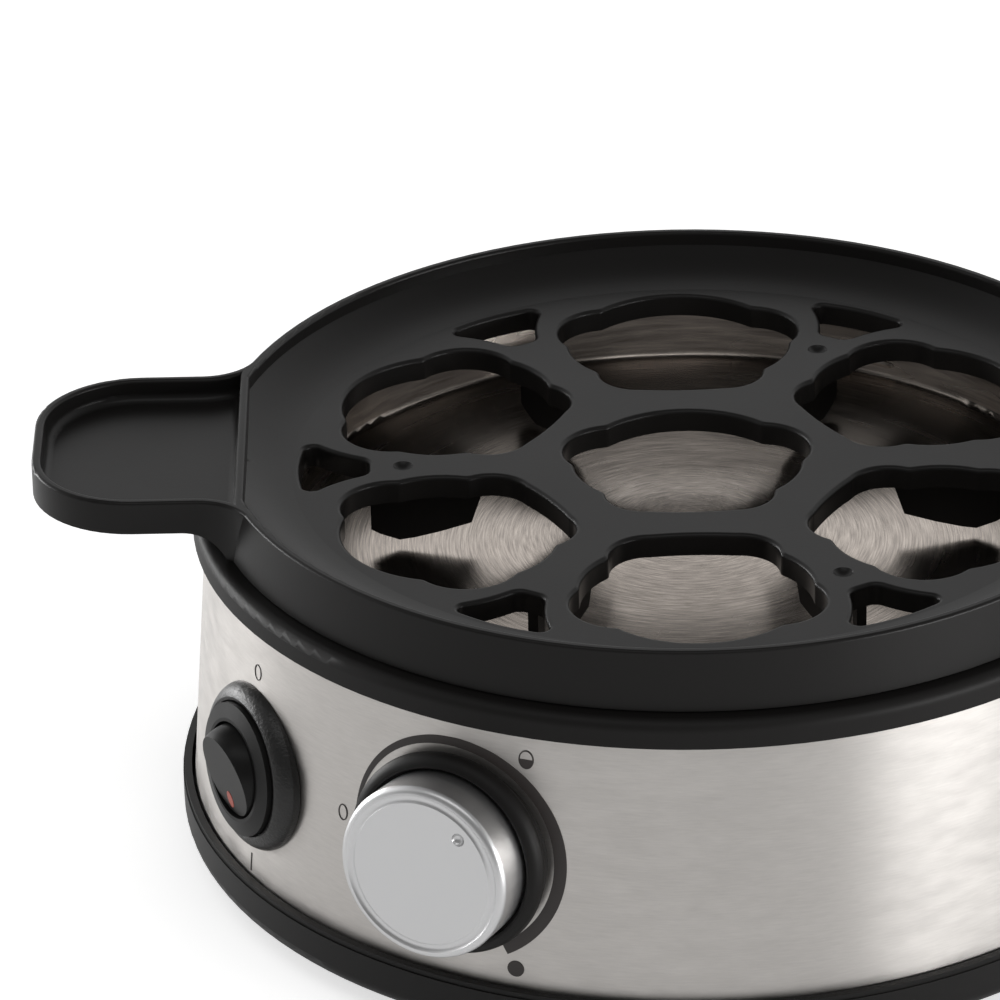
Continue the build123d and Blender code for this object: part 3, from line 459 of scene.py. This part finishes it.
def printed(name, place, inner, outer, material, lift, closed):
    """Layer of ink on the shell between two lines, each an array of across and up."""
    rows = [(inner, -INK_ROOT), (outer, -INK_ROOT), (outer, lift), (inner, lift)]
    sections = np.stack([on_shell(place, line[:, 0], line[:, 1], rise) for line, rise in rows], 1)
    count, sides = sections.shape[:2]
    faces = loft_faces(count, sides, closed)
    return piece(name, sections.reshape(-1, 3), faces, material)


def circle_line(start, end, count, radius_x, radius_y, centre=(0.0, 0.0), whole=False):
    """Points of an ellipse between two angles in degrees: centre + (rx cos t, ry sin t)."""
    turn = np.radians(np.linspace(start, end, count, endpoint=not whole))
    return np.stack([centre[0] + radius_x * np.cos(turn), centre[1] + radius_y * np.sin(turn)], -1)


def printed_ring(name, place, centre, width, height, stroke, material, lift):
    """Printed oval outline."""
    inner = circle_line(0, 360, 48, width / 2 - stroke, height / 2 - stroke, centre, True)
    outer = circle_line(0, 360, 48, width / 2, height / 2, centre, True)
    return printed(name, place, inner, outer, material, lift, True)


def printed_bowl(name, place, centre, width, height, material, lift):
    """Printed lower half of an oval, from side to side."""
    low = circle_line(184, 356, 32, width / 2, height / 2, centre)
    top = np.stack([low[:, 0], np.full(len(low), centre[1])], -1)
    return printed(name, place, low, top, material, lift, False)


def wall_bead(name, ends, height, tall, rise, material):
    """Bead along the inside of the pan's wall between two angles in degrees.

    With u from -1 to 1 along the bead and f = (1 - |u|^8)^0.5, the section at u has the points
    z = height + tall / 2 * f * sin k and r = wall(z) - rise * f * max(cos k, -0.3),
    with k every 30 degrees, so the bead closes at both ends and its back lies in the wall.
    """
    sections, sides = 48, 12
    share = np.linspace(-1, 1, sections)
    angle = np.radians(ends[0] + (share + 1) / 2 * (ends[1] - ends[0]))
    size = np.sqrt(1 - np.clip(np.abs(share), 0, 0.9999) ** 8)
    round_way = np.radians(np.arange(sides) * 360 / sides)
    up = tall / 2 * size[:, None] * np.sin(round_way)
    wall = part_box("heating_pan")[1][0] - PAN_WALL_INSET
    radius = wall + (height + up - PAN_WALL_FOOT) * PAN_WALL_LEAN
    radius = radius - rise * size[:, None] * np.clip(np.cos(round_way), -0.3, 1)
    way_x, way_y = np.cos(angle)[:, None], np.sin(angle)[:, None]
    points = np.stack([radius * way_x, radius * way_y, height + up], -1)
    return piece(name, points.reshape(-1, 3), loft_faces(sections, sides, False), material)


# ---------------------------------------------------------------- operators


class EGGBOILER_OT_tray(bpy.types.Operator):
    """Satin black finish of the egg tray"""

    bl_idname = "eggboiler.tray"
    bl_label = "Finish Tray"

    def execute(self, context):
        s = context.scene.boiler_plastic
        black = plastic("Tray Satin Black", s.tray, s.tray_roughness, 3000.0, 0.3, gloss=s.gloss)
        coat(black, "egg_tray")
        return {"FINISHED"}


class EGGBOILER_OT_ring(bpy.types.Operator):
    """Matte black finish of the top ring and the dial's collar"""

    bl_idname = "eggboiler.ring"
    bl_label = "Finish Ring"

    def execute(self, context):
        s = context.scene.boiler_plastic
        black = plastic("Ring Matte Black", s.ring, 0.5, 2200.0, 0.4, gloss=s.gloss)
        coat(black, "top_ring", "dial_collar")
        return {"FINISHED"}


class EGGBOILER_OT_pan(bpy.types.Operator):
    """Brushed steel of the heating pan"""

    bl_idname = "eggboiler.pan"
    bl_label = "Finish Pan"

    def execute(self, context):
        s = context.scene.boiler_metal
        look = {"lines": 3400.0, "along": 5.0, "strength": 0.5, "contrast": 0.4, "stretch": 0.8}
        coat(brushed("Pan Brushed Steel", s.pan, s.pan_roughness, "R", **look), "heating_pan")
        coat(plastic("Silicone", (0.5, 0.1, 0.06), 0.6, 900.0, 0.1), "pan_seal")
        return {"FINISHED"}


class EGGBOILER_OT_shell(bpy.types.Operator):
    """Steel shell brushed round its axis"""

    bl_idname = "eggboiler.shell"
    bl_label = "Finish Shell"

    def execute(self, context):
        s = context.scene.boiler_metal
        look = {"lines": 3000.0, "along": 26.0, "strength": 0.3, "contrast": 0.05, "stretch": 0.7}
        coat(brushed("Shell Brushed Steel", s.shell, s.shell_roughness, "Z", **look), "body_shell")
        return {"FINISHED"}


class EGGBOILER_OT_base(bpy.types.Operator):
    """Matte base, rubber feet and cord gland"""

    bl_idname = "eggboiler.base"
    bl_label = "Finish Base"

    def execute(self, context):
        s = context.scene.boiler_plastic
        coat(plastic("Base Matte Black", s.base, 0.42, 2000.0, 0.3, gloss=s.gloss), "base_housing")
        coat(plastic("Foot Rubber", s.rubber, 0.7, 1400.0, 0.3), "rubber_feet", "cord_gland")
        return {"FINISHED"}


class EGGBOILER_OT_dial(bpy.types.Operator):
    """Satin silver cap of the dial"""

    bl_idname = "eggboiler.dial"
    bl_label = "Finish Dial"

    def execute(self, context):
        s = context.scene.boiler_metal
        material, tree, shader = new_material("Knob Satin Silver", s.knob, s.knob_roughness, 1.0)
        point = object_point(tree)
        grain = effect(tree, "Moulded Grain", vector=point, scale=5200.0)
        bump(tree, shader, grain["Height"], 0.06, 0.01 * MM)
        coat(material, "knob_cap")
        coat(plastic("Hub Black", (0.02, 0.02, 0.02), 0.5, 1800.0, 0.1), "knob_core")
        return {"FINISHED"}


class EGGBOILER_OT_switch(bpy.types.Operator):
    """Grained bezel, smoother rocker and red lens of the switch"""

    bl_idname = "eggboiler.switch"
    bl_label = "Finish Switch"

    def execute(self, context):
        s = context.scene.boiler_plastic
        coat(plastic("Bezel Spark Grain", s.bezel, 0.36, 1900.0, 1.0, 0.12 * MM), "switch_bezel")
        black = plastic("Rocker Black", s.rocker, 0.38, 3200.0, 0.12, gloss=s.gloss)
        coat(black, "switch_housing", "switch_rocker")
        coat(plastic("Lens Red", s.lens, 0.3, 1500.0, 0.1), "rocker_lens")
        return {"FINISHED"}


class EGGBOILER_OT_inside(bpy.types.Operator):
    """Plain finishes of the parts inside the shell"""

    bl_idname = "eggboiler.inside"
    bl_label = "Finish Inside"

    def execute(self, context):
        for name, base, rough, metallic, nodes in INSIDE:
            coat(new_material(name, base, rough, metallic)[0], *nodes)
        return {"FINISHED"}


class EGGBOILER_OT_dial_marks(bpy.types.Operator):
    """Band and setting marks printed round the dial"""

    bl_idname = "eggboiler.dial_marks"
    bl_label = "Print Dial Marks"

    def execute(self, context):
        s = context.scene.boiler_marks
        ink = new_material("Mark Ink", s.ink, 0.45)[0]
        start, full, end = 176, 5, -60
        angle = np.linspace(start, end, 180)
        share = np.clip((start - angle) / (start - full), 0, 1) ** 0.55
        width = s.band_narrow + (s.band_wide - s.band_narrow) * share
        turn = np.radians(angle)
        way = np.stack([np.cos(turn), np.sin(turn)], -1)
        outer = s.band_radius * way
        inner = (s.band_radius - width)[:, None] * way
        printed("dial_band", DIAL, outer, inner, ink, s.lift, False)
        place = (-23.97 * MM, -0.65 * MM)
        printed_ring("dial_off_mark", DIAL, place, 2.15 * MM, 3.1 * MM, 0.2 * MM, ink, s.lift)
        place = (13.4 * MM, 19.45 * MM)
        printed_ring("dial_middle_mark", DIAL, place, 2.8 * MM, 3.5 * MM, 0.24 * MM, ink, s.lift)
        printed_bowl("dial_middle_fill", DIAL, place, 2.5 * MM, 3.2 * MM, ink, s.lift)
        place, radius = (11.9 * MM, -20.6 * MM), 1.5 * MM
        left = circle_line(88, 272, 24, radius, radius, place)
        right = circle_line(92, -92, 24, radius, radius, place)
        printed("dial_end_mark", DIAL, right, left, ink, s.lift, False)
        return {"FINISHED"}


class EGGBOILER_OT_switch_marks(bpy.types.Operator):
    """Off and on marks printed above and below the switch"""

    bl_idname = "eggboiler.switch_marks"
    bl_label = "Print Switch Marks"

    def execute(self, context):
        s = context.scene.boiler_marks
        ink = bpy.data.materials["Mark Ink"]
        high, low = 18.55 * MM, -18.95 * MM
        side = math.radians(0.25) * 88.8 * MM
        place = (side, high)
        printed_ring("switch_off_mark", SWITCH, place, 2.45 * MM, 3.05 * MM, 0.2 * MM, ink, s.lift)
        tall, half = 1.75 * MM, 0.17 * MM
        up = np.linspace(low - tall, low + tall, 12)
        left = np.stack([np.full(12, side - half), up], -1)
        right = np.stack([np.full(12, side + half), up], -1)
        printed("switch_on_mark", SWITCH, right, left, ink, s.lift, False)
        return {"FINISHED"}


class EGGBOILER_OT_level(bpy.types.Operator):
    """Water mark: a bead on the wall of the pan"""

    bl_idname = "eggboiler.level"
    bl_label = "Press Water Mark"

    def execute(self, context):
        s = context.scene.boiler_marks
        steel = bpy.data.materials["Pan Brushed Steel"]
        wall_bead("pan_level_mark", (57.3, 66), 57.5 * MM, s.level_height, s.level_rise, steel)
        return {"FINISHED"}


class EGGBOILER_OT_stage(bpy.types.Operator):
    """Floor, lamps, surroundings and camera"""

    bl_idname = "eggboiler.stage"
    bl_label = "Set Stage"

    def execute(self, context):
        s = context.scene.boiler_stage
        floor(s)
        for name, place, aim, size, setting in LAMPS:
            lamp(name, place, aim, size, getattr(s, setting))
        surroundings(s)
        camera(s)
        scene = context.scene
        scene.view_settings.view_transform = "Standard"
        return {"FINISHED"}


# ---------------------------------------------------------------- stage


def floor(s):
    """Large pale floor that reads near white to the camera but keeps the boiler's shadow."""
    size = 6.0
    mesh = bpy.data.meshes.new("Floor")
    corners = [(-size, -size, 0), (size, -size, 0), (size, size, 0), (-size, size, 0)]
    mesh.from_pydata(corners, [], [(0, 1, 2, 3)])
    obj = bpy.data.objects.new("Floor", mesh)
    bpy.context.scene.collection.objects.link(obj)
    material = bpy.data.materials.new("Floor White")
    material.use_nodes = True
    tree = material.node_tree
    tree.nodes.clear()
    out = tree.nodes.new("ShaderNodeOutputMaterial")
    paint = tree.nodes.new("ShaderNodeBsdfDiffuse")
    paint.inputs["Color"].default_value = (*s.floor, 1)
    glow = tree.nodes.new("ShaderNodeEmission")
    add = tree.nodes.new("ShaderNodeAddShader")
    path = tree.nodes.new("ShaderNodeLightPath").outputs
    mirrored = math_node(tree, "MAXIMUM", path["Is Glossy Ray"], path["Is Transmission Ray"])
    seen = math_node(tree, "MULTIPLY", path["Is Camera Ray"], s.floor_seen)
    mirrored = math_node(tree, "MULTIPLY", mirrored, s.floor_mirrored)
    join(tree, math_node(tree, "ADD", seen, mirrored), glow.inputs["Strength"])
    join(tree, paint.outputs[0], add.inputs[0])
    join(tree, glow.outputs[0], add.inputs[1])
    join(tree, add.outputs[0], out.inputs["Surface"])
    obj.data.materials.append(material)


def lamp(name, place, aim, size, power):
    """Rectangular lamp that looks at a point."""
    data = bpy.data.lights.new(name, "AREA")
    data.shape = "RECTANGLE"
    data.size, data.size_y = size
    data.energy = power
    obj = bpy.data.objects.new(name, data)
    way = Vector(aim) - Vector(place)
    obj.matrix_world = Matrix.Translation(place) @ way.to_track_quat("-Z", "Y").to_matrix().to_4x4()
    bpy.context.scene.collection.objects.link(obj)


def smooth_step(tree, value, low, high, start, end):
    """Smooth change from start to end while a value goes from low to high."""
    node = tree.nodes.new("ShaderNodeMapRange")
    node.interpolation_type = "SMOOTHSTEP"
    for slot, number in zip(("From Min", "From Max", "To Min", "To Max"), (low, high, start, end)):
        node.inputs[slot].default_value = number
    join(tree, value, node.inputs["Value"])
    return node.outputs[0]


def surroundings(s):
    """World: white to the camera, white behind and beside in reflections, a soft fill otherwise."""
    world = bpy.data.worlds.new("Studio")
    world.use_nodes = True
    tree = world.node_tree
    tree.nodes.clear()
    out = tree.nodes.new("ShaderNodeOutputWorld")
    light = tree.nodes.new("ShaderNodeBackground")
    path = tree.nodes.new("ShaderNodeLightPath").outputs
    way = tree.nodes.new("ShaderNodeSeparateXYZ")
    join(tree, tree.nodes.new("ShaderNodeTexCoord").outputs["Generated"], way.inputs[0])
    behind = smooth_step(tree, way.outputs["Y"], -0.55, 0.25, 0.0, 1.0)
    level = smooth_step(tree, way.outputs["Z"], 0.55, 0.9, 1.0, 0.0)
    white = math_node(tree, "MULTIPLY", behind, level)
    white = math_node(tree, "MULTIPLY", white, 1.0 - s.room)
    shape = math_node(tree, "ADD", white, s.room - s.fill)
    mirrored = math_node(tree, "MAXIMUM", path["Is Glossy Ray"], path["Is Transmission Ray"])
    seen = math_node(tree, "MULTIPLY", path["Is Camera Ray"], 1.0 - s.fill)
    shaped = math_node(tree, "MULTIPLY", mirrored, shape)
    total = math_node(tree, "ADD", math_node(tree, "ADD", seen, shaped), s.fill)
    join(tree, total, light.inputs["Strength"])
    join(tree, light.outputs[0], out.inputs["Surface"])
    bpy.context.scene.world = world


def camera(s):
    """Camera in front and above, slightly rolled, aimed left of the boiler's axis."""
    azimuth = math.radians(CAMERA["azimuth"])
    elevation = math.radians(CAMERA["elevation"])
    roll = math.radians(CAMERA["roll"])
    flat = math.cos(elevation)
    back = np.array([math.sin(azimuth) * flat, -math.cos(azimuth) * flat, math.sin(elevation)])
    right = np.cross(-back, (0, 0, 1.0))
    right /= np.linalg.norm(right)
    up = np.cross(right, -back)
    level, lean = math.cos(roll), math.sin(roll)
    right, up = level * right + lean * up, level * up - lean * right
    target = np.array([0, 0, CAMERA["target"]])
    place = target + back * s.distance - right * CAMERA["aside"] - up * CAMERA["below"]
    matrix = np.eye(4)
    matrix[:3, 0], matrix[:3, 1], matrix[:3, 2], matrix[:3, 3] = right, up, back, place
    data = bpy.data.cameras.new("Camera")
    data.sensor_width = 36.0
    data.lens = s.lens
    data.clip_start = 0.01
    obj = bpy.data.objects.new("Camera", data)
    obj.matrix_world = Matrix(matrix.tolist())
    bpy.context.scene.collection.objects.link(obj)
    bpy.context.scene.camera = obj


# ---------------------------------------------------------------- panel and run

STEPS = (
    EGGBOILER_OT_tray,
    EGGBOILER_OT_ring,
    EGGBOILER_OT_pan,
    EGGBOILER_OT_shell,
    EGGBOILER_OT_base,
    EGGBOILER_OT_dial,
    EGGBOILER_OT_switch,
    EGGBOILER_OT_inside,
    EGGBOILER_OT_dial_marks,
    EGGBOILER_OT_switch_marks,
    EGGBOILER_OT_level,
    EGGBOILER_OT_stage,
)


class EGGBOILER_PT_steps(bpy.types.Panel):
    """Build steps and settings of the egg boiler"""

    bl_label = "Egg Boiler"
    bl_space_type = "VIEW_3D"
    bl_region_type = "UI"
    bl_category = "Egg Boiler"

    def draw(self, context):
        for step in STEPS:
            self.layout.operator(step.bl_idname)
        for attribute, group in GROUPS.items():
            box = self.layout.box()
            box.label(text=group.__doc__)
            for name in group.__annotations__:
                box.prop(getattr(context.scene, attribute), name)


def register():
    """Adds the settings, the steps and the panel."""
    for attribute, group in GROUPS.items():
        bpy.utils.register_class(group)
        setattr(bpy.types.Scene, attribute, PointerProperty(type=group))
    for item in (*STEPS, EGGBOILER_PT_steps):
        bpy.utils.register_class(item)


def unregister():
    """Takes them away again."""
    for item in (EGGBOILER_PT_steps, *reversed(STEPS)):
        bpy.utils.unregister_class(item)
    for attribute, group in GROUPS.items():
        delattr(bpy.types.Scene, attribute)
        bpy.utils.unregister_class(group)


def main():
    """Registers the settings, steps and panel, then runs the steps in order."""
    register()
    for step in STEPS:
        area, name = step.bl_idname.split(".")
        getattr(getattr(bpy.ops, area), name)()


if __name__ == "__main__":
    main()
